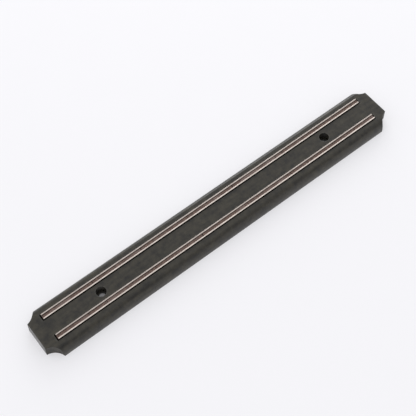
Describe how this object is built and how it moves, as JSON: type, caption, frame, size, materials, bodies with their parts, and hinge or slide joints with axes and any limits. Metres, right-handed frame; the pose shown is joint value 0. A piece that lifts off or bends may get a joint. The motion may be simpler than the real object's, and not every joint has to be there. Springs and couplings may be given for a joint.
{
  "type": "magnetic knife rack",
  "caption": "Flat bar-shaped wall rack with scalloped corners that holds knives by their blades on two magnetic rails, with screw holes in its face.",
  "frame": {"origin": "centre of the back plane, which is the plane that lies on a table or against a wall", "axes": "+X along the rack, +Y across it towards the edge that is uppermost on a wall, +Z out of the face that holds the knives"},
  "size_m": [0.33, 0.0408, 0.0126],
  "materials": {
    "housing_plastic": "satin black moulding with a fine grain",
    "pole_steel": "bright sheared edge",
    "ferrite": "matt mauve-brown, unpolished",
    "adhesive": "cured, slightly glossy"
  },
  "bodies": {
    "root": {"housing": "housing_plastic", "upper_rail_outer_plate": "pole_steel", "upper_rail_inner_plate": "pole_steel", "lower_rail_outer_plate": "pole_steel", "lower_rail_inner_plate": "pole_steel", "upper_rail_magnet_1": "ferrite", "upper_rail_magnet_2": "ferrite", "upper_rail_magnet_3": "ferrite", "upper_rail_magnet_4": "ferrite", "upper_rail_magnet_5": "ferrite", "upper_rail_magnet_6": "ferrite", "upper_rail_magnet_7": "ferrite", "lower_rail_magnet_1": "ferrite", "lower_rail_magnet_2": "ferrite", "lower_rail_magnet_3": "ferrite", "lower_rail_magnet_4": "ferrite", "lower_rail_magnet_5": "ferrite", "lower_rail_magnet_6": "ferrite", "lower_rail_magnet_7": "ferrite", "upper_rail_adhesive": "adhesive", "lower_rail_adhesive": "adhesive"}
  },
  "joints": []
}
